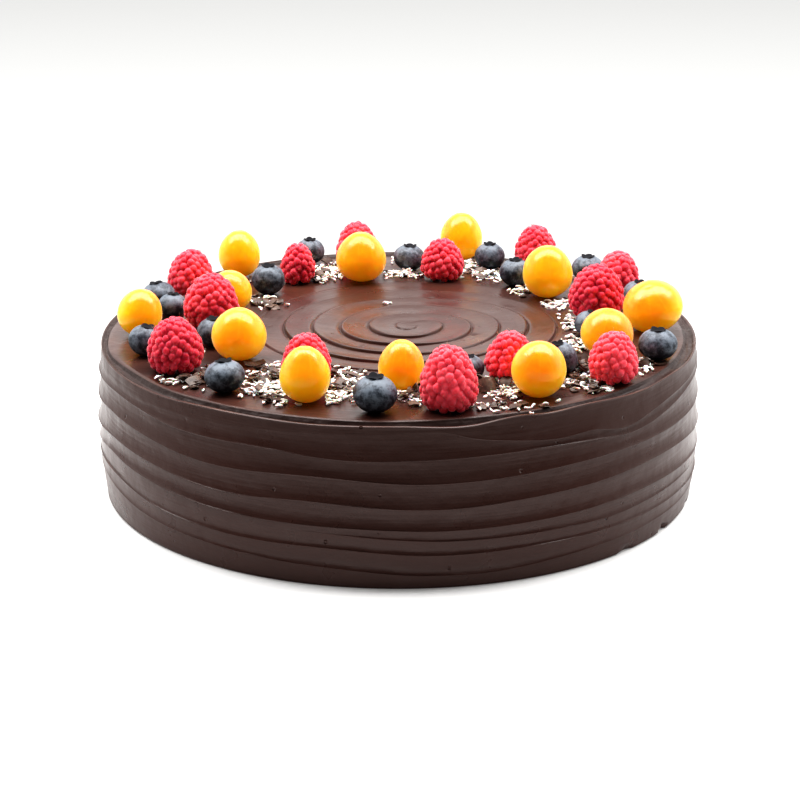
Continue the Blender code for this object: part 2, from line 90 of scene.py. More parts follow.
# Lower edges of the spatula's strokes on the side, from the rim down: clock angle in degrees, where
# 270 is the front, and height in mm. Between these places an edge is a smooth curve.
RIM = (
    (0, 56.0), (45, 55.4), (90, 55.6), (135, 55.2), (180, 55.2), (196, 55.2), (214, 55.5), (223, 56.0),
    (230, 56.7), (256, 57.0), (270, 57.5), (284, 57.0), (289, 58.3), (293, 58.8), (297, 58.1),
    (306, 58.5), (316, 57.3), (322, 56.9), (332, 57.2), (341, 56.1),
)
STROKES = (
    ((0, 51.0), (45, 50.6), (90, 50.8), (135, 50.6), (180, 51.2), (225, 52.0), (264, 54.8), (279, 55.0),
     (283, 52.9), (289, 51.1), (301, 48.9), (307, 49.2), (316, 46.6), (323, 48.2), (330, 49.8),
     (343, 50.7)),
    ((0, 46.8), (45, 46.0), (90, 46.4), (135, 46.2), (180, 46.2), (193, 47.2), (204, 48.3), (213, 48.1),
     (223, 47.1), (247, 47.2), (260, 45.8), (274, 46.2), (299, 46.5), (308, 45.6), (317, 43.9),
     (323, 44.4), (331, 46.2), (343, 48.3)),
    ((0, 38.0), (45, 38.5), (90, 38.0), (135, 38.6), (180, 37.2), (203, 40.5), (213, 40.0), (233, 38.0),
     (256, 39.5), (274, 37.9), (302, 39.1), (323, 39.1), (349, 38.6)),
    ((0, 27.2), (45, 29.0), (90, 30.0), (135, 29.2), (180, 27.6), (205, 31.8), (220, 30.8), (236, 29.3),
     (253, 30.7), (278, 28.9), (293, 30.0), (311, 30.7), (323, 31.5), (337, 30.6)),
    ((0, 19.6), (45, 22.4), (90, 22.0), (135, 21.6), (180, 21.0), (203, 25.6), (214, 24.7), (231, 22.8),
     (264, 22.1), (279, 21.3), (302, 21.7), (324, 22.3), (337, 21.9)),
    ((0, 14.6), (45, 18.0), (90, 17.8), (135, 18.2), (180, 18.6), (225, 19.6), (260, 19.4), (276, 17.7),
     (302, 16.9), (312, 16.4), (324, 16.9), (337, 17.2)),
    ((0, 11.2), (45, 12.6), (90, 13.4), (135, 14.2), (180, 16.8), (202, 18.2), (216, 16.0), (236, 14.4),
     (260, 14.3), (274, 12.7), (297, 12.5), (317, 12.1), (342, 11.9)),
    ((0, 7.4), (45, 6.2), (90, 6.6), (135, 8.0), (180, 12.6), (193, 13.4), (214, 10.5), (244, 8.2),
     (260, 7.0), (274, 5.3), (285, 4.7), (302, 6.4), (318, 7.2)),
)
# How strongly each stroke's crest, its lower edge, stands out, and the clock angles that the crests
# which don't run all round begin and end at
CRESTS = (0.6, 0.8, 0.8, 0.9, 0.8, 0.6, 0.8, 0.7)
SHORT_CRESTS = {0: (278, 420), 5: (250, 440)}
CREST_FADE = math.radians(22)
# Rows across one stroke, as shares of its width from its upper edge
STROKE_ROWS = (0.0, 0.04, 0.1, 0.2, 0.32, 0.45, 0.58, 0.69, 0.78, 0.86, 0.92, 0.96, 0.985, 1.0)
# A stroke is hollow: it flares out towards its lower edge, and the next one starts further in. The
# flare is a power of the share across, low where it is spread over the whole stroke. A stroke
# narrower than FLARE_WIDTH flares less.
FLARE = 1.6
FLARE_POWERS = (2.4, 2.4, 2.5, 2.6, 3.2, 3.6, 4.0, 4.0, 3.0)
FLARE_WIDTH = 7.0
LEAST_FLARE = 0.3
STEP_BACK = 0.5
STEP_HEIGHT = 0.14
# How far in the strokes start from the side's own radius
SIDE_INSET = 0.15
# The thin fin that the spatula leaves at the lower edge of a stroke. It comes and goes round the
# cake, at other places on each stroke.
FIN_HEIGHT = 0.42
FIN_WIDTH = 0.2
FIN_MEAN = 0.3
FIN_CHANGE = 1.2
FIN_REACH = 60
FIN_STEP = 13.0
FIN_LENGTH = 14.0
# Waves and ripples of the side: depth, size, and how much lower than wide they are
SIDE_WAVES = ((0.22, 26.0, 1.6), (0.05, 7.0, 2.5))
# The thin lip that stands up along the rim: its height, how far it is from the rim, half its width
# and the share of its height that is left where it is lowest
LIP_HEIGHT = 0.5
LIP_BACK = 0.8
LIP_WIDTH = 0.9
LEAST_LIP = 0.7
# The last rows of the shoulder, on the lip, are smooth
LIP_ROWS = 6

# The rough shoulder between the top and the rim: clock angle in degrees and width in mm, and how
# far in mm the top has rolled down where the shoulder starts. It dips most at the front.
SHOULDER_WIDTHS = (
    (0, 4.6), (45, 4.2), (90, 4.0), (135, 4.0), (180, 2.6), (193, 2.6), (206, 4.9), (222, 5.5),
    (232, 6.7), (244, 7.2), (270, 7.2), (282, 8.0), (298, 7.4), (311, 6.4), (325, 5.4),
)
TOP_ROLLS = ((0, 0.3), (90, 0.3), (180, 0.3), (225, 0.3), (270, 0.15), (315, 0.15))
SHOULDER_ROWS = (
    0.02, 0.05, 0.09, 0.14, 0.19, 0.24, 0.3, 0.37, 0.44, 0.51, 0.58, 0.65, 0.72, 0.79, 0.85, 0.9, 0.94,
    0.97, 0.985, 1.0,
)
SHOULDER_DIPS = (
    (0, 0.7), (45, 0.4), (135, 0.4), (180, 0.8), (193, 0.8), (215, 1.8), (255, 2.4), (300, 2.3),
    (335, 1.2),
)
# Shares of the width that the shoulder drops in and climbs in, and that the lip behind the rim
# takes, and how far in radians its streaks run
DROP_SHARE = 0.21
CLIMB_SHARE = 0.18
LIP_SHARE = 0.11
STREAK_SLANT = 0.35
# Depth of the torn shoulder, and its streaks and crumbs as shares of that. A size is that of the
# noise's bumps, and a reach sets how fast it changes round the cake.
SHOULDER_ROUGHNESS = 0.42
STREAKS = 1.2
STREAK_LENGTH = 52
STREAK_REACH = 34
STREAK_SIZE = 3.6
CRUMBS = 0.8
CRUMB_REACH = 106
CRUMB_SIZE = 1.6
LIP_REACH = 50
LIP_SIZE = 9.0

# Chips knocked out of the lower edge: clock angle in degrees, half sizes along, into the cake and up
CHIPS = ((331, 2.6, 2.0, 3.0), (318, 3.6, 1.0, 2.6), (346, 2.2, 0.8, 2.2))

# Swirl on the top
SWIRL_CENTRE = (3.5, 8.0)
SWIRL_PITCH = 10.2
SWIRL_PASSES = 6
SWIRL_DEPTH = 0.9
SWIRL_START = 0.22
SWIRL_STEP_SHARE = 0.65
SWIRL_STEP_TURN = TURN / 4
SWIRL_WOBBLE = 0.5
WOBBLE_WAVES = 3
WOBBLE_CHANGE = 2.1
# How softly the innermost pass closes on the centre, as a share of the pitch
SWIRL_EYE = 0.3
# The wobble starts this share of a pass inside the first whole one. The relief grows outward from
# the centre and fades towards the ring, by these shares a pass.
WOBBLE_START = 0.6
SWIRL_GROWTH = 1.4
SWIRL_FADE = 0.75
# The depth changes over the top by this share, in patches of this size, between these limits. The
# level keeps the noise of the patches apart from that of the ripples.
SWIRL_CHANGE = 0.9
SWIRL_PATCH_SIZE = 26.0
SWIRL_LEVEL = 60
SWIRL_LIMITS = (0.3, 1.6)
SWIRL_RIPPLE = 0.12
SWIRL_RIPPLE_SIZE = 14.0
# Across one pass of the spatula, outward from the bottom of a narrow groove: share of the pitch and
# of the depth. The pass rises gently to a crest, and drops from it into the next groove.
SWIRL_PROFILE = (
    (0.0, -0.6), (0.025, -0.5), (0.05, -0.2), (0.09, -0.03), (0.18, 0.0), (0.36, 0.0), (0.52, 0.05),
    (0.66, 0.17), (0.79, 0.36), (0.89, 0.55), (0.94, 0.62), (0.965, 0.35), (0.985, -0.2),
)
# Small tears that the spatula left in the swirl
TEARS = ((11.8, 43.4), (-13.0, -15.8), (26.6, -2.2), (43.6, -2.6), (-48.6, 9.0))
TEAR_DEPTH = 0.8
TEAR_RADIUS = 1.1
# The smooth ring round the swirl: faint marks along it, and swells, as a share of its wave
RING_ROWS = 26
RING_WAVE = 0.14
RING_MARK_REACH = 9
RING_MARK_SIZE = 5.5
RING_SWELL = 1.4
RING_SWELL_SIZE = 24.0
# How steeply and how roundly the ring's edge rolls down to the shoulder
ROLL_STEEPNESS = 2.2
ROLL_POWER = 2.5

# Fruits that lean: degrees towards +x and towards +y
LEANS = {
    "physalis_01": (0, 4), "physalis_02": (6, 0), "physalis_03": (16, 6), "physalis_04": (4, -3),
    "physalis_05": (-2, 2), "physalis_07": (2, -3), "physalis_08": (4, 0), "physalis_09": (-4, 3),
    "physalis_10": (3, -24), "physalis_11": (-14, -20), "physalis_12": (4, -12),
    "raspberry_01": (3, 0), "raspberry_02": (6, -6), "raspberry_03": (-5, -4), "raspberry_06": (3, 0),
    "raspberry_08": (9, 0), "raspberry_10": (5, -3), "raspberry_11": (8, 0), "raspberry_12": (3, 0),
    "blueberry_01": (-10, 6), "blueberry_02": (4, 4), "blueberry_03": (10, 0), "blueberry_05": (-4, 6),
    "blueberry_08": (4, 0), "blueberry_12": (8, 0), "blueberry_13": (12, 0), "blueberry_15": (-14, -4),
    "blueberry_16": (-4, 0),
}
PHYSALIS_COUNT = 12
RASPBERRY_COUNT = 13
BLUEBERRY_COUNT = 17
SPIN_STEP = 0.382
# How deep in mm each fruit is pressed into the ganache
PRESSED_IN = 0.4

# Columns round a fruit and rows from its top to its foot. Its swells are shares of its size, and
# are read this far apart, so that no two fruits are alike.
PHYSALIS_GRID = (72, 44)
PHYSALIS_SWELL = 0.025
PHYSALIS_SWELL_SIZE = 9.0
PHYSALIS_APART = 50
# The small dent in its top
PHYSALIS_DENT = 0.35
PHYSALIS_DENT_RADIUS = 1.3
# How much narrower the top of each physalis is than its foot
PHYSALIS_TAPERS = (0.08, 0.08, 0.08, 0.09, 0.14, 0.1, 0.13, 0.13, 0.09, 0.04, 0.05, 0.08)
# How yellow each physalis is, and how pale each raspberry
PHYSALIS_TINTS = (0.8, 0.6, 0.5, 0.7, 0.1, 0.5, 0.7, 0.3, 0.7, 0.6, 0.5, 0.2)
RASPBERRY_TINTS = (0.6, 0.5, 0.15, 0.5, 0.6, 0.5, 0.9, 0.6, 0.5, 0.2, 0.6, 0.9, 0.5)
RASPBERRY_GRID = (150, 100)
RASPBERRY_TAPER = 0.24
RASPBERRY_FULLNESS = 0.8
RASPBERRY_FOOT = 0.06
# How much smaller the body under the drupelets is than the fruit, in width and height
BODY_INSETS = (1.4, 1.0)
# A drupelet is a dome sunk into the body, with a faint dimple on it and a groove round it. They
# wind round the body by the golden ratio, from the top to near the foot.
DRUPELET_SPACING = 2.9
DRUPELET_RADIUS = 1.95
DRUPELET_SIZES = (0.88, 1.12)
DRUPELET_SUNK = 1.1
DRUPELET_GROOVE = 0.35
GROOVE_WIDTH = 0.5
DRUPELET_DIMPLE = 0.12
DIMPLE_RADIUS = 0.45
DRUPELET_JITTER = 0.35
DRUPELET_START = 0.3
DRUPELET_REACH = 1.86
HEXAGON_SHARE = 0.87
GOLDEN_TURN = 0.61803
# Hairs, and how far they lean and bend, as shares of their length
HAIRS_PER_RASPBERRY = 70
HAIR_LENGTHS = (0.8, 2.0)
HAIR_RADIUS = 0.05
HAIR_ROOT = 0.6
HAIR_TAPER = 0.6
HAIR_LEAN = 0.7
HAIR_BEND = 0.5
HAIR_STEPS = 3
BLUEBERRY_GRID = (80, 56)
BLUEBERRY_SWELL = 0.02
BLUEBERRY_SWELL_SIZE = 6.0
BLUEBERRY_APART = 40
# A blueberry's crown: its height and the hollow's depth and sink as shares of the fruit's height,
# its radius as a share of the fruit's width, and as shares of that radius its floor and how far its
# lobes lean out on the inside and the outside. The lobes' heights differ by the last number.
CROWN_HEIGHT = 0.025
CROWN_DEPTH = 0.05
CROWN_SINK = 0.03
CROWN_RADIUS = 0.18
CROWN_FLOOR = 0.62
CROWN_FLARES = (0.222, 0.22)
CROWN_LOBES = 5
LOBE_POWER = 0.8
LOBE_CHANGE = 0.25
# Shares of the rows that end the hollow, the crown's inner and its outer wall, and how softly its
# black ends
CROWN_ROWS = (0.10, 0.17, 0.24)
CROWN_BLUR = 0.03

# Strewn shreds and flakes: middle of the patch, its half sizes, and its counts of shreds of coconut
# and flakes of chocolate. More shreds than that are laid, by the factor below.
PATCHES = (
    (-41, -55, 8, 12, 120, 16), (-45, -66, 9, 8, 42, 8), (-33, -80, 9, 4, 8, 2), (-36, -47, 9, 6, 30, 7),
    (-18, -60, 8, 14, 75, 24), (-20, -76, 7, 6, 22, 4), (3, -70, 6, 9, 52, 18), (10, -50, 7, 8, 8, 8),
    (31, -63, 5, 7, 14, 10), (37, -64, 7, 12, 56, 10), (33, -84, 9, 4, 10, 5), (46, -88, 10, 5, 5, 3),
    (60, -58, 7, 8, 38, 16), (62, -44, 7, 6, 16, 14), (68, -64, 8, 8, 18, 8), (86, -42, 4, 8, 16, 4),
    (64, -16, 5, 12, 46, 10), (64, 10, 5, 12, 36, 5), (58, 34, 5, 8, 20, 3), (50, 52, 8, 8, 22, 6),
    (-70, -54, 6, 8, 12, 18), (-62, -46, 8, 8, 16, 12), (-80, -58, 8, 10, 4, 4), (-76, -20, 8, 12, 10, 8),
    (-26, 80, 8, 10, 54, 12), (-30, 70, 6, 6, 22, 5), (2, 76, 8, 6, 36, 6), (6, 92, 9, 5, 22, 4),
    (30, 84, 7, 8, 56, 12), (34, 72, 7, 5, 34, 9), (44, 72, 6, 6, 20, 6), (14, 84, 6, 5, 12, 4),
    (-50, 70, 8, 8, 16, 10), (-52, 40, 7, 8, 8, 9), (-46, 36, 5, 6, 6, 6), (62, 70, 8, 8, 24, 6),
    (76, 36, 6, 8, 12, 4), (80, 12, 5, 6, 8, 4), (-78, 12, 6, 6, 8, 5), (-68, 62, 8, 8, 12, 6),
)
LOOSE_SHREDS = ((-33.4, -81.5), (-72.3, -63.7), (-81.4, -45.4), (-4.9, 35.7), (-3.6, 37.0), (44, -92))
STREWN_SEED = 23
STREWN_REACH = 99
STREWN_SPREAD = 0.55
STREWN_TRIES = 30
SHREDS_PER_COUNT = 1.5
# How far a bit keeps from a fruit: a share of the fruit's half width, and half the bit's size
CLEAR_OF_FRUIT = 0.72
CLEAR_OF_BIT = 0.6
# Each kind of bit: sizes, how far it curls and twists in radians, how much narrower its ends are,
# how high it lies, and how far in radians it tips on the ganache and on a pile
Bit = namedtuple("Bit", "name lengths widths thickness curls twist narrowing lift tips")
SHRED = Bit("coconut_shreds", (1.8, 3.3), (0.65, 1.15), 0.5, (0.3, 1.6), 0.8, 0.5, 0.1, (0.1, 0.45))
FLAKE = Bit("chocolate_flakes", (2.2, 5.4), (1.6, 3.6), 0.4, (0.3, 1.5), 0.6, 0.05, 0.2, (0.25, 0.9))
BIT_STEPS = 4
# Piles: width of a cell and height of a layer, the most layers, the layers that the tips grow
# over, and how far a bit may sink into each
PILE_CELL = 1.7
PILE_STEP = 0.34
PILE_LAYERS = 5
TIP_LAYERS = 3
SINK = 0.35
# Large flakes that stand in the ganache: how far they twist in radians, how much narrower their
# ends are and how deep they sink. Then each one's place, length, width and curl, and in degrees its
# heading and the angle that it stands at.
LARGE_TWIST = 0.4
LARGE_NARROWING = 0.15
LARGE_SINK = 0.1
LARGE_STEPS = 8
LARGE_FLAKES = (
    (30.0, -67.5, 8.0, 5.0, 2.2, 20, 52), (34.0, -64.0, 8.0, 5.0, -1.4, 70, 44),
    (28.0, -61.5, 8.0, 5.0, 1.2, 130, 40), (60.5, -40.5, 9.0, 3.4, 3.6, 30, 70),
    (57.5, -46.0, 7.5, 4.6, 1.4, 150, 40), (64.0, -47.0, 7.0, 3.6, -1.2, 80, 34),
    (-69.5, -58.5, 6.5, 3.8, 1.0, 40, 26), (-66.0, -54.0, 5.5, 3.4, -1.2, 110, 34),
    (-73.5, -55.5, 5.0, 3.0, 1.2, 10, 18), (-46.5, -46.0, 6.5, 4.2, 1.2, 160, 22),
    (-50.0, -38.0, 8.0, 3.0, -1.0, 20, 14), (-22.0, -52.0, 7.0, 2.8, 1.6, 140, 30),
    (-14.5, -62.0, 5.5, 3.4, -1.4, 60, 26), (2.0, -76.0, 5.0, 3.0, 1.0, 80, 20),
    (84.5, -41.0, 7.5, 2.8, 2.6, 60, 60), (38.0, 86.5, 6.0, 3.6, 1.2, 30, 30),
    (-27.5, 90.5, 6.0, 3.4, -1.2, 70, 30), (-51.0, 39.0, 5.5, 2.6, 1.0, 10, 14),
)


def round_cake(stations, angles):
    """Read heights from (clock, height) places round the cake, joined by a smooth closed curve."""
    clocks = np.radians([clock for clock, height in stations])
    heights = np.array([height for clock, height in stations], float)
    count = len(stations)
    gaps = (np.roll(clocks, -1) - clocks) % TURN
    slopes = (np.roll(heights, -1) - heights) / gaps
    before = np.roll(slopes, 1)
    gaps_before = np.roll(gaps, 1)
    tangents = (before * gaps + slopes * gaps_before) / (gaps + gaps_before)
    index = (np.searchsorted(clocks, angles % TURN, side="right") - 1) % count
    after = (index + 1) % count
    gap = gaps[index]
    t = ((angles - clocks[index]) % TURN) / gap
    rise = t * t * (3 - 2 * t)
    enter = t * (1 - t) * (1 - t)
    leave = t * t * (t - 1)
    return (
        heights[index] + (heights[after] - heights[index]) * rise
        + gap * (enter * tangents[index] + leave * tangents[after])
    )


def crest_strength(number, angles):
    """Return how strongly a crest stands out round the cake, less where it begins or ends."""
    if number not in SHORT_CRESTS:
        return CRESTS[number]
    start, end = np.radians(SHORT_CRESTS[number])
    along = (angles - start) % TURN
    left = (end - start) - along
    return CRESTS[number] * np.clip(np.minimum(along, left) / CREST_FADE, 0.0, 1.0)


def top_height(x, y):
    """Return the height of the smooth top, which rises a little towards one side."""
    across = x * math.cos(TOP_HIGH_SIDE) + y * math.sin(TOP_HIGH_SIDE)
    return TOP_HEIGHT + TOP_RISE * across / RIM_RADIUS


def side_radius(height):
    """Return the radius of the side without its strokes: widest a third of the way up."""
    low = np.clip(height / BELLY_HEIGHT, 0.0, 1.0)
    high = np.clip((height - BELLY_HEIGHT) / (TOP_HEIGHT - BELLY_HEIGHT), 0.0, 1.0)
    below = FOOT_RADIUS + (BELLY_RADIUS - FOOT_RADIUS) * np.sin(low * TURN / 4)
    return below + (RIM_RADIUS - BELLY_RADIUS) * high * high


def around(radius, angles):
    """Return x and y of places at this radius."""
    return radius * np.cos(angles), radius * np.sin(angles)


def waves(x, y, z, size):
    """Return smooth noise from -1 to 1 at many places, with bumps of about this size."""
    return np.array([noise.noise(Vector(place) / size) for place in zip(x, y, z)])


def waves_round(across, reach, angles, size):
    """Return smooth noise along a closed row, which changes faster round the cake the larger its
    reach is."""
    return waves(across + 0 * angles, *around(reach, angles), size)


def swirl_drift(angles):
    """Return the share of the pitch, from 1 down to 0 over a turn, that the spatula has moved."""
    step = np.minimum(1.0, angles / SWIRL_STEP_TURN)
    eased = step * step * (3 - 2 * step)
    return 1.0 - (1 - SWIRL_STEP_SHARE) * angles / TURN - SWIRL_STEP_SHARE * eased


def swirl_row(row, angles):
    """Return x, y, z along one row of the swirl, which winds outward clockwise seen from above."""
    rows_in_pass = len(SWIRL_PROFILE)
    number = row // rows_in_pass - 1
    across, depth_share = SWIRL_PROFILE[row % rows_in_pass]
    drift = swirl_drift(angles)
    passes = number + across + drift
    if number >= SWIRL_PASSES - 1:
        # the last pass is squeezed against the circle round the swirl
        inner = number + drift
        passes = inner + (SWIRL_PASSES - inner) * (across if number < SWIRL_PASSES else 1.0)
    turns = passes + SWIRL_START
    reach = 0.5 * (np.sqrt(turns * turns + SWIRL_EYE * SWIRL_EYE) + turns)
    calm = np.clip(np.minimum(passes + WOBBLE_START, SWIRL_PASSES - passes), 0.0, 1.0)
    wobble = SWIRL_WOBBLE * np.sin(WOBBLE_WAVES * angles) * np.sin(WOBBLE_CHANGE * passes)
    radius = SWIRL_PITCH * reach + wobble * calm
    x = SWIRL_CENTRE[0] + radius * np.cos(angles)
    y = SWIRL_CENTRE[1] + radius * np.sin(angles)
    fade = np.clip(np.minimum(SWIRL_GROWTH * reach, SWIRL_FADE * (SWIRL_PASSES - passes)), 0.0, 1.0)
    patches = waves(x, y, 0 * x + SWIRL_LEVEL, SWIRL_PATCH_SIZE)
    strength = np.clip(1 + SWIRL_CHANGE * patches, *SWIRL_LIMITS)
    height = top_height(x, y) + SWIRL_DEPTH * depth_share * fade * strength
    height += SWIRL_RIPPLE * fade * waves(x, y, 0 * x, SWIRL_RIPPLE_SIZE)
    for tear_x, tear_y in TEARS:
        height -= TEAR_DEPTH * np.exp(-((x - tear_x) ** 2 + (y - tear_y) ** 2) / TEAR_RADIUS ** 2)
    return x, y, height


def ring_row(share, angles):
    """Return x, y, z along one row of the smooth ring between the swirl and the shoulder."""
    start = SWIRL_PITCH * 0.5 * (
        math.hypot(SWIRL_PASSES + SWIRL_START, SWIRL_EYE) + SWIRL_PASSES + SWIRL_START
    )
    edge = RIM_RADIUS - round_cake(SHOULDER_WIDTHS, angles)
    radius = start + (edge - start) * share
    x = SWIRL_CENTRE[0] * (1 - share) + radius * np.cos(angles)
    y = SWIRL_CENTRE[1] * (1 - share) + radius * np.sin(angles)
    calm = 4 * share * (1 - share)
    marks = waves_round(radius, RING_MARK_REACH, angles, RING_MARK_SIZE)
    swell = waves(x, y, 0 * x, RING_SWELL_SIZE)
    rolled = max(0.0, 1 - ROLL_STEEPNESS * (1 - share)) ** ROLL_POWER
    roll = round_cake(TOP_ROLLS, angles) * rolled
    return x, y, top_height(x, y) + RING_WAVE * calm * (marks + RING_SWELL * swell) - roll


def shoulder_row(share, angles):
    """Return x, y, z along one row from the top's edge down to the rim."""
    width = round_cake(SHOULDER_WIDTHS, angles)
    inner = RIM_RADIUS - width
    rim = round_cake(RIM, angles)
    edge = top_height(*around(inner, angles)) - round_cake(TOP_ROLLS, angles)
    drop = min(1.0, share / DROP_SHARE)
    climb = max(0.0, min(1.0, (1.0 - share - LIP_SHARE) / CLIMB_SHARE))
    dip = drop * climb * (2 - climb)
    height = edge + (rim - edge) * share - round_cake(SHOULDER_DIPS, angles) * dip
    slanted = angles + STREAK_SLANT * share
    streaks = waves_round(STREAK_LENGTH * share, STREAK_REACH, slanted, STREAK_SIZE)
    crumbs = waves_round(width * share, CRUMB_REACH, angles, CRUMB_SIZE)
    height += SHOULDER_ROUGHNESS * dip * (STREAKS * streaks + CRUMBS * crumbs)
    fullness = np.clip(LEAST_LIP + waves_round(0, LIP_REACH, angles, LIP_SIZE), LEAST_LIP, 1)
    lip = np.clip(1 - np.abs(width * (1 - share) - LIP_BACK) / LIP_WIDTH, 0, 1)
    height += LIP_HEIGHT * fullness * lip
    return *around(inner + width * share, angles), height


def side_rows(angles):
    """Return x, y, z along each row of the side, from just below the rim to the foot."""
    edges = [round_cake(RIM, angles)] + [round_cake(stroke, angles) for stroke in STROKES]
    crests = [crest_strength(number, angles) for number in range(len(CRESTS))] + [0]
    edges.append(0 * angles + FOOT_ROUNDING)
    rows = []
    for number in range(len(edges) - 1):
        upper, lower = edges[number] - STEP_HEIGHT, edges[number + 1]
        width = upper - lower
        flare = FLARE * crests[number] * np.clip(width / FLARE_WIDTH, LEAST_FLARE, 1.0)
        level = FIN_STEP * number + 0 * angles
        fins = FIN_MEAN + FIN_CHANGE * waves(*around(FIN_REACH, angles), level, FIN_LENGTH)
        for share in STROKE_ROWS:
            height = upper - width * share
            hollow = flare * (share ** FLARE_POWERS[number] - STEP_BACK * share)
            fin = FIN_HEIGHT * crests[number] * np.clip(fins, 0, 1)
            hollow += fin * np.exp(-(width * (1 - share) / FIN_WIDTH) ** 2)
            radius = side_radius(height) + hollow - SIDE_INSET
            x, y = around(radius, angles)
            for depth, size, lowness in SIDE_WAVES:
                radius = radius + depth * waves(x, y, lowness * height, size)
            rows.append(chip_row(radius, height, angles))
    rows.append(chip_row(0 * angles + FOOT_RADIUS, 0 * angles + FOOT_ROUNDING, angles))
    rows.append(chip_row(0 * angles + FOOT_RADIUS - FOOT_ROUNDING, 0 * angles, angles))
    return rows


def chip_row(radius, height, angles):
    """Return x, y, z of a row of the side, pushed in where a chip is missing from the lower edge."""
    for clock, along, into, up in CHIPS:
        sideways = FOOT_RADIUS * ((angles - math.radians(clock) + math.pi) % TURN - math.pi) / along
        inside = 1 - sideways ** 2 - (height / up) ** 2
        radius = radius - into * np.sqrt(np.clip(inside, 0.0, 1.0))
    return *around(radius, angles), height


def new_piece(name, points, faces, material, node=None):
    """Make a smooth mesh piece from points in mm, and let it ride on the cake."""
    mesh = bpy.data.meshes.new(name)
    mesh.from_pydata(np.asarray(points) * MM, [], faces)
    mesh.materials.append(material)
    mesh.shade_smooth()
    piece = bpy.data.objects.new(name, mesh)
    bpy.context.scene.collection.objects.link(piece)
    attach(piece, BODY)
    if node:
        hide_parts(node)
    return piece


def close_up(mesh):
    """Merge points that coincide and turn every face outward."""
    shape = bmesh.new()
    shape.from_mesh(mesh)
    bmesh.ops.remove_doubles(shape, verts=shape.verts, dist=SAME_PLACE * MM)
    bmesh.ops.recalc_face_normals(shape, faces=shape.faces)
    shape.to_mesh(mesh)
    shape.free()


def make_cake(material):
    """Make the cake as one closed mesh: the swirl, the ring, the shoulder, the side and the base."""
    angles = TURN * np.arange(COLUMNS) / COLUMNS
    in_pass = len(SWIRL_PROFILE)
    swirl_count = in_pass * (SWIRL_PASSES + 1) + 1
    rows = [swirl_row(row, angles) for row in range(swirl_count)]
    rows += [ring_row(step / RING_ROWS, angles) for step in range(1, RING_ROWS + 1)]
    rows += [shoulder_row(share, angles) for share in SHOULDER_ROWS]
    rows += side_rows(angles)
    points = np.concatenate([np.stack(row, axis=1) for row in rows])

    def corner(row, step):
        """Return a point's number. In the swirl, a full turn on, a row carries on further in."""
        if step < COLUMNS:
            return row * COLUMNS + step
        return (row - in_pass if row < swirl_count - 1 else row) * COLUMNS

    faces = []
    for row in range(len(rows) - 1):
        last = COLUMNS if row >= in_pass else COLUMNS - 1
        for step in range(last):
            here = [corner(row, step), corner(row + 1, step)]
            beside = [corner(row + 1, step + 1), corner(row, step + 1)]
            faces.append(here + beside)
    eye = list(range(COLUMNS)) + [corner(row, COLUMNS - 1) for row in range(1, in_pass + 1)]
    foot = [corner(len(rows) - 1, step) for step in range(COLUMNS)]
    faces += [eye[::-1], foot]
    cake = new_piece("ganache_cake", points, faces, material, "cake")
    # the material is more matt where this is 1, on the torn part of the shoulder, and darker there as
    # painted shade
    smooth_rows = swirl_count + RING_ROWS
    roughs = np.zeros(len(rows))
    roughs[smooth_rows:smooth_rows + len(SHOULDER_ROWS) - LIP_ROWS] = 1
    add_value(cake.data, "rough", np.repeat(roughs, COLUMNS))
    close_up(cake.data)


def ball_grid(columns, rows):
    """Return polar angles, azimuths and faces of a ball of this many columns and rows."""
    rings = np.repeat(np.arange(1, rows), columns)
    steps = np.tile(np.arange(columns), rows - 1)
    polar = np.concatenate(([0.0], math.pi * rings / rows, [math.pi]))
    azimuth = np.concatenate(([0.0], TURN * steps / columns, [0.0]))
    last = len(polar) - 1
    faces = []
    for column in range(columns):
        beside = (column + 1) % columns
        faces.append((0, 1 + column, 1 + beside))
        for row in range(rows - 2):
            upper = 1 + row * columns
            lower = upper + columns
            faces.append((upper + column, lower + column, lower + beside, upper + beside))
        start = 1 + (rows - 2) * columns
        faces.append((start + column, last, start + beside))
    return polar, azimuth, faces


def node_size(node):
    """Return the middle of a fruit's solid and its full size, in mm."""
    low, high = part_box(node)
    return (low + high) / (2 * MM), (high - low) / MM


def place_fruit(points, node, number, body=None):
    """Turn and lean a fruit's points, then fit its body, the first points, to its solid."""
    lean_x, lean_y = LEANS.get(node, (0, 0))
    spin = TURN * (number * SPIN_STEP % 1.0)
    lean = Euler((math.radians(-lean_y), math.radians(lean_x), 0.0)).to_matrix()
    turn = np.array(lean @ Euler((0.0, 0.0, spin)).to_matrix())
    turned = points @ turn.T
    middle, size = node_size(node)
    low, high = turned[:body].min(axis=0), turned[:body].max(axis=0)
    middle.z -= PRESSED_IN / 2
    size.z += PRESSED_IN
    scale = np.array(size) / (high - low)
    return (turned - (low + high) / 2) * scale + np.array(middle)


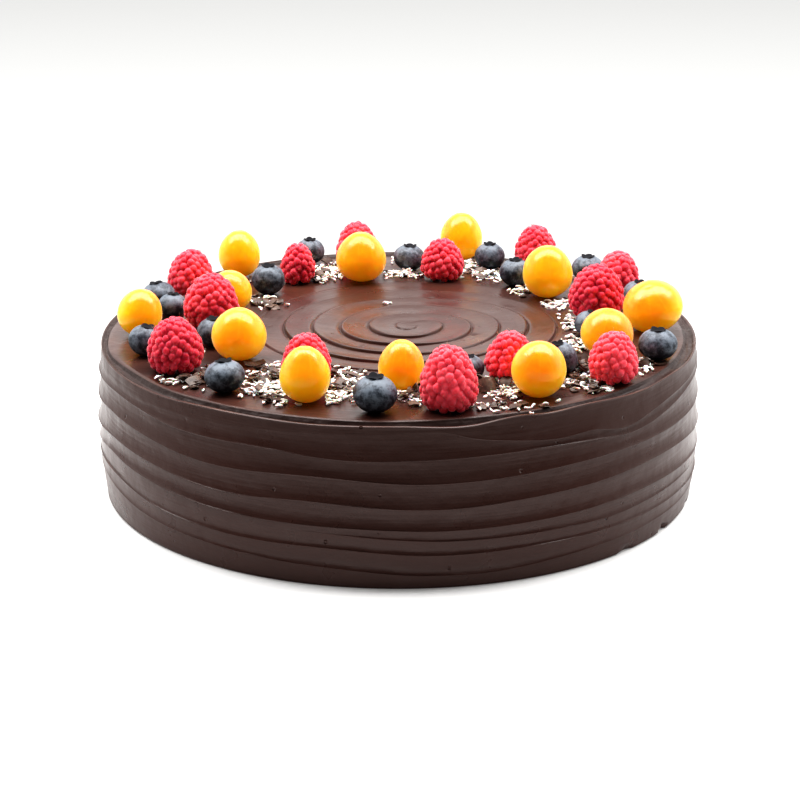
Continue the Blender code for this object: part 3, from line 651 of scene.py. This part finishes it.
def make_physalis(node, number, material):
    """Make one physalis: a smooth ball, a little uneven and narrower at the top."""
    size = node_size(node)[1]
    polar, azimuth, faces = ball_grid(*PHYSALIS_GRID)
    width = 0.5 * (size.x + size.y)
    up = np.cos(polar)
    taper = PHYSALIS_TAPERS[number - 1]
    radius = 0.5 * width * np.sin(polar) * (1 - taper * up)
    x, y = around(radius, azimuth)
    z = 0.5 * size.z * up
    swell = 1 + PHYSALIS_SWELL * waves(x + PHYSALIS_APART * number, y, z, PHYSALIS_SWELL_SIZE)
    points = np.stack((x * swell, y * swell, z * swell), axis=1)
    dent = np.exp(-(np.hypot(x, y) / PHYSALIS_DENT_RADIUS) ** 2) * (up > 0)
    points[:, 2] -= PHYSALIS_DENT * dent
    placed = place_fruit(points, node, number)
    piece = new_piece(f"physalis_skin_{number:02d}", placed, faces, material, node)
    add_value(piece.data, "round", azimuth)
    # the material reads this for its painted light, yellower towards the foot
    add_value(piece.data, "up", 0.5 + 0.5 * up)
    add_value(piece.data, "tint", 0 * up + PHYSALIS_TINTS[number - 1])


def add_value(mesh, name, values):
    """Store one number for each point of a mesh, for its material to read."""
    layer = mesh.attributes.new(name, "FLOAT", "POINT")
    layer.data.foreach_set("value", np.asarray(values, np.float32))


def drupelet_centres(width, height, draw):
    """Return the middles of a raspberry's drupelets, evenly spread over its body."""
    area = math.pi * width * height
    count = int(area / (HEXAGON_SHARE * DRUPELET_SPACING ** 2))
    centres = []
    for step in range(count):
        share = (step + DRUPELET_START) / count
        up = 1 - DRUPELET_REACH * share
        turn = TURN * (step * GOLDEN_TURN % 1.0) + draw.uniform(-1, 1) * DRUPELET_JITTER / 3
        up += draw.uniform(-1, 1) * DRUPELET_JITTER * 2 / height
        centres.append((max(-1.0, min(1.0, up)), turn))
    return np.array(centres)


def raspberry_body(up, azimuth, width, height):
    """Return points on a raspberry's body without its drupelets."""
    girth = np.sqrt(np.clip(1 - up * up, 0, 1))
    radius = 0.5 * width * girth ** RASPBERRY_FULLNESS * (1 - RASPBERRY_TAPER * up)
    return np.stack((*around(radius, azimuth), 0.5 * height * up), axis=1)


def make_raspberry(node, number, material, hair):
    """Make one raspberry: a body covered in round drupelets, with fine hairs between them."""
    draw = random.Random(number)
    size = node_size(node)[1]
    width = 0.5 * (size.x + size.y) - BODY_INSETS[0]
    height = size.z - BODY_INSETS[1]
    polar, azimuth, faces = ball_grid(*RASPBERRY_GRID)
    body = raspberry_body(np.cos(polar), azimuth, width, height)
    centres = drupelet_centres(width, height, draw)
    middles = raspberry_body(centres[:, 0], centres[:, 1], width, height)
    apart = np.linalg.norm(body[:, None, :] - middles[None, :, :], axis=2)
    nearest, second = np.partition(apart, 1, axis=1)[:, :2].T
    sizes = np.array([draw.uniform(*DRUPELET_SIZES) for middle in middles])
    domes = np.sqrt(np.clip((DRUPELET_RADIUS * sizes) ** 2 - apart ** 2, 0, None)).max(axis=1)
    domes -= DRUPELET_DIMPLE * np.exp(-(nearest / DIMPLE_RADIUS) ** 2)
    domes -= DRUPELET_GROOVE * np.exp(-((second - nearest) / GROOVE_WIDTH) ** 2)
    outward = body / np.array((0.25 * width ** 2, 0.25 * width ** 2, 0.25 * height ** 2))
    outward /= np.linalg.norm(outward, axis=1)[:, None]
    points = body + outward * (domes - DRUPELET_SUNK)[:, None]
    points[:, 2] = np.maximum(points[:, 2], (RASPBERRY_FOOT - 0.5) * size.z)
    hairs, hair_faces = raspberry_hairs(middles, draw)
    placed = place_fruit(np.concatenate((points, hairs)), node, number, len(points))
    start = len(points)
    faces += [tuple(start + corner for corner in face) for face in hair_faces]
    piece = new_piece(f"raspberry_flesh_{number:02d}", placed, faces, material, node)
    piece.data.materials.append(hair)
    add_value(piece.data, "tint", np.full(len(placed), RASPBERRY_TINTS[number - 1]))
    flesh_count = len(faces) - len(hair_faces)
    piece.data.polygons.foreach_set("material_index", [0] * flesh_count + [1] * len(hair_faces))


def raspberry_hairs(middles, draw):
    """Return the points and faces of the fine bent hairs that stand on a raspberry's drupelets."""
    points = []
    faces = []
    for hair in range(HAIRS_PER_RASPBERRY):
        root = Vector(draw.choice(middles))
        lean = Vector([draw.uniform(-HAIR_LEAN, HAIR_LEAN) for axis in range(3)])
        out = (root.normalized() + lean).normalized()
        across = out.orthogonal().normalized()
        bend = across * draw.uniform(-HAIR_BEND, HAIR_BEND)
        length = draw.uniform(*HAIR_LENGTHS)
        base = root + out * HAIR_ROOT
        start = len(points)
        for step in range(HAIR_STEPS + 1):
            along = step / HAIR_STEPS
            middle = base + out * length * along + bend * length * along * along
            for corner in range(3):
                angle = TURN * corner / 3
                side = across * math.cos(angle) + out.cross(across) * math.sin(angle)
                points.append(middle + side * HAIR_RADIUS * (1 - HAIR_TAPER * along))
        for step in range(HAIR_STEPS):
            for corner in range(3):
                following = (corner + 1) % 3
                here = start + 3 * step
                faces.append((here + corner, here + following, here + 3 + following, here + 3 + corner))
        faces.append((start + 2, start + 1, start))
        tip = start + 3 * HAIR_STEPS
        faces.append((tip, tip + 1, tip + 2))
    return np.array([tuple(point) for point in points]), faces


def make_blueberry(node, number, material):
    """Make one blueberry: a flattened ball with a star-shaped crown round a hollow."""
    size = node_size(node)[1]
    width, height = 0.5 * (size.x + size.y), size.z
    polar, azimuth, faces = ball_grid(*BLUEBERRY_GRID)
    crown = CROWN_HEIGHT * height
    top = 0.5 * height - crown
    half = 0.5 * (height - crown)
    ring = CROWN_RADIUS * width
    share = polar / math.pi
    hollow, edge, foot = CROWN_ROWS
    # the skin: a ball cut off at the crown's radius
    start = math.asin(min(1.0, ring / (0.5 * width)))
    angle = start + (math.pi - start) * np.clip((share - foot) / (1 - foot), 0, 1)
    skin_radius = 0.5 * width * np.sin(angle)
    skin_level = top - half + half * np.cos(angle)
    # the crown: five lobes of different heights, with an outer wall, an inner wall and a floor
    rim = half * (math.cos(start) - 1) + top
    floor = rim - CROWN_DEPTH * height
    lobe = np.abs(np.cos(0.5 * CROWN_LOBES * azimuth)) ** LOBE_POWER
    change = 1 - LOBE_CHANGE + LOBE_CHANGE * np.sin(2 * azimuth + number)
    tip = rim + (crown + top - rim) * lobe * change
    climb = np.clip((foot - share) / (foot - edge), 0, 1)
    outer_radius = ring * (1 + CROWN_FLARES[1] * climb * lobe)
    outer_level = rim + (tip - rim) * climb
    rise = np.clip((share - hollow) / (edge - hollow), 0, 1)
    inner_radius = ring * (CROWN_FLOOR + (CROWN_FLARES[0] * lobe + 1 - CROWN_FLOOR) * rise)
    inner_level = floor + (tip - floor) * rise
    floor_radius = ring * CROWN_FLOOR * share / hollow
    floor_level = floor - CROWN_SINK * height * (1 - share / hollow)
    parts = [share <= hollow, share <= edge, share <= foot]
    radius = np.select(parts, [floor_radius, inner_radius, outer_radius], skin_radius)
    level = np.select(parts, [floor_level, inner_level, outer_level], skin_level)
    x, y = around(radius, azimuth)
    swell = 1 + BLUEBERRY_SWELL * waves(x + BLUEBERRY_APART * number, y, level, BLUEBERRY_SWELL_SIZE)
    points = np.stack((x * swell, y * swell, level), axis=1)
    placed = place_fruit(points, node, number)
    piece = new_piece(f"blueberry_skin_{number:02d}", placed, faces, material, node)
    add_value(piece.data, "crown", np.clip(0.5 + (foot - share) / CROWN_BLUR, 0, 1))


def bent_strip(length, width, thickness, curl, twist, narrowing, steps):
    """Return points and faces of a thin closed strip, curled along its length and narrower at its
    ends, in its own frame."""
    points = []
    for step in range(steps + 1):
        along = step / steps - 0.5
        turn = along * curl
        radius = length / curl
        sag = math.cos(turn) - math.cos(0.5 * curl)
        middle = Vector((radius * math.sin(turn), 0, radius * sag))
        taper = 1 - narrowing * abs(2 * along) ** 3
        side = Vector((0, math.cos(twist * along), math.sin(twist * along))) * 0.5 * width * taper
        lift = Vector((math.sin(turn), 0, math.cos(turn))) * 0.5 * thickness
        points += [middle - side - lift, middle + side - lift]
        points += [middle + side + lift, middle - side + lift]
    faces = [(0, 1, 2, 3), tuple(4 * steps + corner for corner in (3, 2, 1, 0))]
    for step in range(steps):
        here, beside = 4 * step, 4 * step + 4
        for corner in range(4):
            following = (corner + 1) % 4
            faces.append((here + corner, beside + corner, beside + following, here + following))
    return points, faces


class Heap:
    """The places of the fruits, and how many loose bits lie at each place on the top."""

    def __init__(self, fruits):
        self.fruits = fruits
        self.piles = {}

    def free(self, x, y):
        """Tell whether a bit fits here beside the fruits."""
        inside = math.hypot(x, y) < STREWN_REACH
        return inside and all(
            math.hypot(x - fruit_x, y - fruit_y) > CLEAR_OF_FRUIT * half + CLEAR_OF_BIT
            for fruit_x, fruit_y, half in self.fruits
        )

    def level(self, x, y):
        """Return the height to lay the next bit at, and make the pile there higher."""
        cell = (round(x / PILE_CELL), round(y / PILE_CELL))
        count = self.piles.get(cell, 0)
        self.piles[cell] = count + 1
        return top_height(x, y) + PILE_STEP * min(count, PILE_LAYERS), count


def lay_bit(heap, draw, bit, x, y):
    """Make a bit of random size and shape, and lay it at a random heading on the pile at x, y."""
    length = draw.uniform(*bit.lengths)
    width = min(length, draw.uniform(*bit.widths))
    curl = draw.choice((-1, 1)) * draw.uniform(*bit.curls)
    twist = draw.uniform(-bit.twist, bit.twist)
    points, faces = bent_strip(length, width, bit.thickness, curl, twist, bit.narrowing, BIT_STEPS)
    base, count = heap.level(x, y)
    tip = bit.tips[0] + (bit.tips[1] - bit.tips[0]) * min(1.0, count / TIP_LAYERS)
    turn = Euler(
        (draw.uniform(-tip, tip), draw.uniform(-tip, tip), draw.uniform(0, TURN))
    ).to_matrix()
    turned = [turn @ point for point in points]
    low = max(min(point.z for point in turned), -SINK * (1 + count))
    return [point + Vector((x, y, base + bit.lift - low)) for point in turned], faces


def stand_flake(draw, x, y, length, width, curl, heading, stand):
    """Make one large flake that stands in the ganache at an angle."""
    twist = draw.uniform(-LARGE_TWIST, LARGE_TWIST)
    points, faces = bent_strip(
        length, width, FLAKE.thickness, curl, twist, LARGE_NARROWING, LARGE_STEPS
    )
    turn = Euler((math.radians(stand), 0, math.radians(heading)), "XYZ").to_matrix()
    turned = [turn @ point for point in points]
    low = min(point.z for point in turned)
    place = Vector((x, y, top_height(x, y) - low - LARGE_SINK))
    return [point + place for point in turned], faces


def strew(heap, shred_material, flake_material):
    """Strew the shreds of coconut and the flakes of chocolate over their patches."""
    draw = random.Random(STREWN_SEED)
    laid = {SHRED: [], FLAKE: []}
    for middle_x, middle_y, half_x, half_y, shreds, flakes in PATCHES:
        bits = [FLAKE] * flakes + [SHRED] * round(SHREDS_PER_COUNT * shreds)
        draw.shuffle(bits)
        for bit in bits:
            for attempt in range(STREWN_TRIES):
                x = middle_x + draw.gauss(0, STREWN_SPREAD) * half_x
                y = middle_y + draw.gauss(0, STREWN_SPREAD) * half_y
                if heap.free(x, y):
                    laid[bit].append(lay_bit(heap, draw, bit, x, y))
                    break
    for x, y in LOOSE_SHREDS:
        laid[SHRED].append(lay_bit(heap, draw, SHRED, x, y))
    for large in LARGE_FLAKES:
        laid[FLAKE].append(stand_flake(draw, *large))
    for bit, material in ((SHRED, shred_material), (FLAKE, flake_material)):
        points = []
        faces = []
        for bit_points, bit_faces in laid[bit]:
            start = len(points)
            points += [tuple(point) for point in bit_points]
            faces += [tuple(start + corner for corner in face) for face in bit_faces]
        new_piece(bit.name, points, faces, material).data.shade_flat()


class Shading:
    """The shader nodes of one material or world. A method that makes a node returns its output."""

    def __init__(self, owner):
        owner.use_nodes = True
        self.owner = owner
        self.tree = owner.node_tree

    def fill(self, node, inputs):
        """Set each input of a node to its value, or link it where that is a socket."""
        for name, value in inputs.items():
            if isinstance(value, bpy.types.NodeSocket):
                self.tree.links.new(value, node.inputs[name])
            else:
                node.inputs[name].default_value = value

    def finish(self, inputs, shader="Principled BSDF"):
        """Fill the inputs of the shader itself, and return the material or world."""
        self.fill(self.tree.nodes[shader], inputs)
        return self.owner

    def add(self, kind, inputs, **settings):
        """Add a node with these inputs and settings, and return its outputs."""
        node = self.tree.nodes.new("ShaderNode" + kind)
        for name, value in settings.items():
            setattr(node, name, value)
        self.fill(node, inputs)
        return node.outputs

    def place(self):
        """The place on the object, in metres."""
        return self.add("TexCoord", {})["Object"]

    def split(self, vector):
        """The x, y and z of a vector."""
        return self.add("SeparateXYZ", {0: vector})

    def length(self, vector):
        """The length of a vector."""
        return self.add("VectorMath", {0: vector}, operation="LENGTH")["Value"]

    def facing_up(self):
        """How far the surface faces up, from -1 to 1."""
        return self.split(self.add("NewGeometry", {})["Normal"])[2]

    def stored(self, name):
        """The numbers that are stored in the mesh under this name."""
        return self.add("Attribute", {}, attribute_name=name)["Fac"]

    def mix(self, factor, first, second):
        """Blend from the first colour to the second."""
        return self.add("Mix", {0: factor, 6: first, 7: second}, data_type="RGBA")[2]

    def spread(self, value, low, high, to_low=0.0, to_high=1.0):
        """Stretch a value's range."""
        return self.add("MapRange", {
            "Value": value, "From Min": low, "From Max": high, "To Min": to_low, "To Max": to_high,
        })["Result"]

    def add_up(self, first, second):
        """The sum of two numbers."""
        return self.add("Math", {0: first, 1: second}, operation="ADD")[0]

    def times(self, first, second):
        """The product of two numbers."""
        return self.add("Math", {0: first, 1: second}, operation="MULTIPLY")[0]

    def noise(self, scale, detail=2.0, roughness=0.5, place=None):
        """Noise from 0 to 1 with this many bumps a metre."""
        return self.add("TexNoise", {
            "Vector": place or self.place(), "Scale": scale, "Detail": detail, "Roughness": roughness,
        })["Fac"]

    def bump(self, height, distance, under=None):
        """Raise a surface by a height from 0 to 1 times a distance in metres."""
        inputs = {"Height": height, "Distance": distance}
        if under:
            inputs["Normal"] = under
        return self.add("Bump", inputs)["Normal"]


def ganache_material():
    """Dark ganache with a satin face, faint spatula streaks, pits and redder patches, and painted shade
    that darkens the torn dip of the shoulder.
    """
    look = Shading(bpy.data.materials.new("ganache"))
    dark = (0.058, 0.0250, 0.0195, 1)
    red = (0.088, 0.034, 0.0215, 1)
    torn_painted_shade = (0.027, 0.012, 0.0095, 1)
    on_top = look.spread(look.facing_up(), 0.6, 0.9)
    patches = look.times(look.spread(look.noise(38.0, 3.0), 0.5, 0.7), on_top)
    rough = look.stored("rough")
    # painted shade: the torn dip of the shoulder is darkened
    colour = look.mix(look.times(rough, 0.8), look.mix(patches, dark, red), torn_painted_shade)
    satin = look.spread(look.noise(90.0, 3.0), 0.3, 0.7, 0.26, 0.35)
    matt = look.times(rough, 0.12)
    # streaks along the side, and round the swirl's centre on the top
    place = look.place()
    flat = look.add("Mapping", {"Vector": place, "Scale": (30, 30, 900)})["Vector"]
    centre = (SWIRL_CENTRE[0] * MM, SWIRL_CENTRE[1] * MM, TOP_HEIGHT * MM)
    away = look.add("VectorMath", {0: place, 1: centre}, operation="SUBTRACT")[0]
    x, y = look.split(place)[:2]
    rings = look.add("CombineXYZ", {
        0: look.times(look.length(away), 700.0), 1: look.times(x, 25.0), 2: look.times(y, 25.0),
    })[0]
    side_streaks = look.noise(1.0, 3.0, place=flat)
    top_streaks = look.noise(1.0, 3.0, place=rings)
    streaks = look.add("Mix", {0: on_top, 2: side_streaks, 3: top_streaks})[0]
    # a few round holes, in cells picked by chance
    cells = look.add("TexVoronoi", {"Vector": place, "Scale": 170.0})
    chance = look.spread(look.split(cells["Color"])[0], 0.86, 0.9)
    holes = look.times(look.spread(cells["Distance"], 0.05, 0.13, 1.0, 0.0), chance)
    grained = look.bump(look.noise(1400.0, 3.0), 0.00003)
    torn = look.bump(look.times(rough, look.noise(420.0, 3.0)), 0.00025, grained)
    streaked = look.bump(streaks, 0.00009, torn)
    swollen = look.bump(look.noise(130.0), 0.0003, streaked)
    return look.finish({
        "Base Color": colour, "Roughness": look.add_up(satin, matt), "IOR": 1.4,
        "Normal": look.bump(look.spread(holes, 0, 1, 1, 0), 0.0004, swollen),
    })


def physalis_material():
    """Glossy orange-yellow skin with faint veins, from which the light shines back softly. Painted light
    gives it a faint glow of its own, a yellower foot and a more orange top.
    """
    look = Shading(bpy.data.materials.new("physalis"))
    orange = (1.0, 0.27, 0.003, 1)
    yellow = (1.0, 0.56, 0.006, 1)
    pale = (1.0, 0.7, 0.06, 1)
    # painted light: the skin is yellower towards the foot and more orange towards the top
    lower = look.spread(look.stored("up"), 0.35, 0.85, 0.9, -0.2)
    tint = look.spread(look.stored("tint"), 0, 1, -0.1, 0.5)
    cloud = look.spread(look.noise(110.0, 3.0), 0.35, 0.7, -0.15, 0.25)
    tone_and_painted_light = look.spread(look.add_up(look.add_up(lower, tint), cloud), 0.0, 1.0)
    veins = look.add("Math", {0: look.times(look.stored("round"), 10.0)}, operation="SINE")[0]
    lines = look.spread(veins, 0.8, 1.0, 0.0, 0.07)
    return look.finish({
        "Base Color": look.mix(lines, look.mix(tone_and_painted_light, orange, yellow), pale),
        "Roughness": 0.2, "IOR": 1.5,
        "Sheen Weight": 0.25, "Sheen Roughness": 0.5, "Sheen Tint": (1.0, 0.93, 0.75, 1),
        "Subsurface Weight": 1.0, "Subsurface Radius": (1.0, 0.55, 0.05), "Subsurface Scale": 0.016,
        # painted light: a faint orange glow of the skin's own
        "Emission Color": (1.0, 0.55, 0.0, 1), "Emission Strength": 0.1,
        "Normal": look.bump(look.noise(150.0), 0.0002, look.bump(look.noise(700.0), 0.00003)),
    })


def raspberry_material():
    """Soft red flesh with a faint bloom."""
    look = Shading(bpy.data.materials.new("raspberry"))
    deep = (0.58, 0.018, 0.058, 1)
    bright = (0.96, 0.11, 0.15, 1)
    cloud = look.spread(look.noise(220.0, 3.0), 0.35, 0.65, -0.3, 0.4)
    pale = look.spread(look.add_up(cloud, look.stored("tint")), 0.0, 1.0)
    return look.finish({
        "Base Color": look.mix(pale, deep, bright), "Roughness": 0.5, "IOR": 1.4,
        "Subsurface Weight": 0.6, "Subsurface Radius": (1.0, 0.15, 0.18), "Subsurface Scale": 0.0025,
        "Sheen Weight": 0.6, "Sheen Roughness": 0.4, "Sheen Tint": (1.0, 0.75, 0.75, 1),
        "Normal": look.bump(look.noise(1500.0), 0.00005),
    })


def hair_material():
    """Pale brown hairs of the raspberries."""
    look = Shading(bpy.data.materials.new("raspberry_hair"))
    return look.finish({"Base Color": (0.55, 0.30, 0.20, 1), "Roughness": 0.6})


def blueberry_material():
    """Dark blue skin under a pale bloom that is rubbed off in places, with a black crown. The bloom is
    paler where the skin faces up, as painted light.
    """
    look = Shading(bpy.data.materials.new("blueberry"))
    bare = (0.016, 0.020, 0.030, 1)
    bloom = (0.155, 0.18, 0.215, 1)
    black = (0.014, 0.014, 0.018, 1)
    crown = look.stored("crown")
    mottled = look.spread(look.noise(330.0, 5.0, 0.7), 0.4, 0.6, -0.5, 0.5)
    # painted light: the bloom is paler where the skin faces up
    upper = look.spread(look.facing_up(), -0.5, 0.9, 0.15, 0.75)
    bloom_and_painted_light = look.spread(look.add_up(mottled, upper), 0.0, 1.0)
    return look.finish({
        "Base Color": look.mix(crown, look.mix(bloom_and_painted_light, bare, bloom), black),
        "Roughness": look.spread(crown, 0.0, 1.0, 0.5, 0.95),
        "Normal": look.bump(look.noise(1200.0, 3.0), 0.00006),
    })


def coconut_material():
    """White coconut, a little creamy in places."""
    look = Shading(bpy.data.materials.new("coconut"))
    cream = (0.80, 0.76, 0.70, 1)
    white = (0.93, 0.92, 0.89, 1)
    return look.finish({
        "Base Color": look.mix(look.spread(look.noise(300.0), 0.3, 0.7), cream, white),
        "Roughness": 0.55, "Subsurface Weight": 0.3, "Subsurface Scale": 0.0006,
        "Normal": look.bump(look.noise(2500.0, 3.0), 0.00006),
    })


def flake_material():
    """Shaved chocolate, matt and paler in places."""
    look = Shading(bpy.data.materials.new("chocolate"))
    dark = (0.04, 0.022, 0.016, 1)
    pale = (0.15, 0.092, 0.066, 1)
    return look.finish({
        "Base Color": look.mix(look.spread(look.noise(320.0, 3.0), 0.35, 0.65), dark, pale),
        "Roughness": 0.42, "Normal": look.bump(look.noise(1800.0, 3.0), 0.0001),
    })


def floor_material():
    """Pale floor, white round the cake and grey further away, as painted shade."""
    look = Shading(bpy.data.materials.new("floor"))
    white = (0.78, 0.78, 0.775, 1)
    grey = (0.325, 0.325, 0.322, 1)
    # painted shade: the floor turns grey away from the cake
    far = look.spread(look.length(look.place()), *FLOOR_EDGES)
    return look.finish({
        "Base Color": look.mix(far, white, grey), "Roughness": 1.0, "Specular IOR Level": 0.0,
        "Emission Color": (1.0, 1.0, 0.995, 1), "Emission Strength": 0.13,
    })


def make_lamp():
    """Hang a wide lamp over the cake that shines straight down."""
    lamp = bpy.data.lights.new("overhead", "AREA")
    lamp.shape = "RECTANGLE"
    lamp.size, lamp.size_y = LAMP_SIZE
    lamp.energy = LAMP_RADIANCE * math.pi * LAMP_SIZE[0] * LAMP_SIZE[1]
    light = bpy.data.objects.new("overhead", lamp)
    light.location = LAMP_PLACE
    bpy.context.scene.collection.objects.link(light)


def make_studio():
    """Make the floor, the soft lamp, the bright surroundings and the camera."""
    scene = bpy.context.scene
    bpy.ops.mesh.primitive_plane_add(size=FLOOR_SIZE)
    floor = bpy.context.active_object
    floor.name = "floor"
    floor.data.materials.append(floor_material())
    make_lamp()
    sky = Shading(bpy.data.worlds.new("surroundings"))
    direction = sky.add("TexCoord", {})["Generated"]
    scene.world = sky.finish({
        "Color": (1.0, 0.995, 0.985, 1),
        "Strength": sky.spread(sky.split(direction)[1], *SURROUNDINGS_EDGES, *SURROUNDINGS),
    }, "Background")
    camera = bpy.data.objects.new("camera", bpy.data.cameras.new("camera"))
    camera.data.lens = CAMERA_LENS
    camera.data.sensor_width = SENSOR_WIDTH
    camera.location = CAMERA_PLACE
    camera.rotation_euler = (math.pi / 2 - CAMERA_DOWN, 0, 0)
    scene.collection.objects.link(camera)
    scene.camera = camera
    scene.view_settings.view_transform = "Standard"
    scene.view_settings.look = "High Contrast"


def main():
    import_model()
    make_studio()
    make_cake(ganache_material())
    fruits = []
    for kind, count, make, materials in (
        ("physalis", PHYSALIS_COUNT, make_physalis, [physalis_material()]),
        ("raspberry", RASPBERRY_COUNT, make_raspberry, [raspberry_material(), hair_material()]),
        ("blueberry", BLUEBERRY_COUNT, make_blueberry, [blueberry_material()]),
    ):
        for number in range(1, count + 1):
            node = f"{kind}_{number:02d}"
            make(node, number, *materials)
            middle, size = node_size(node)
            fruits.append((middle.x, middle.y, 0.25 * (size.x + size.y)))
    strew(Heap(fruits), coconut_material(), flake_material())


main()
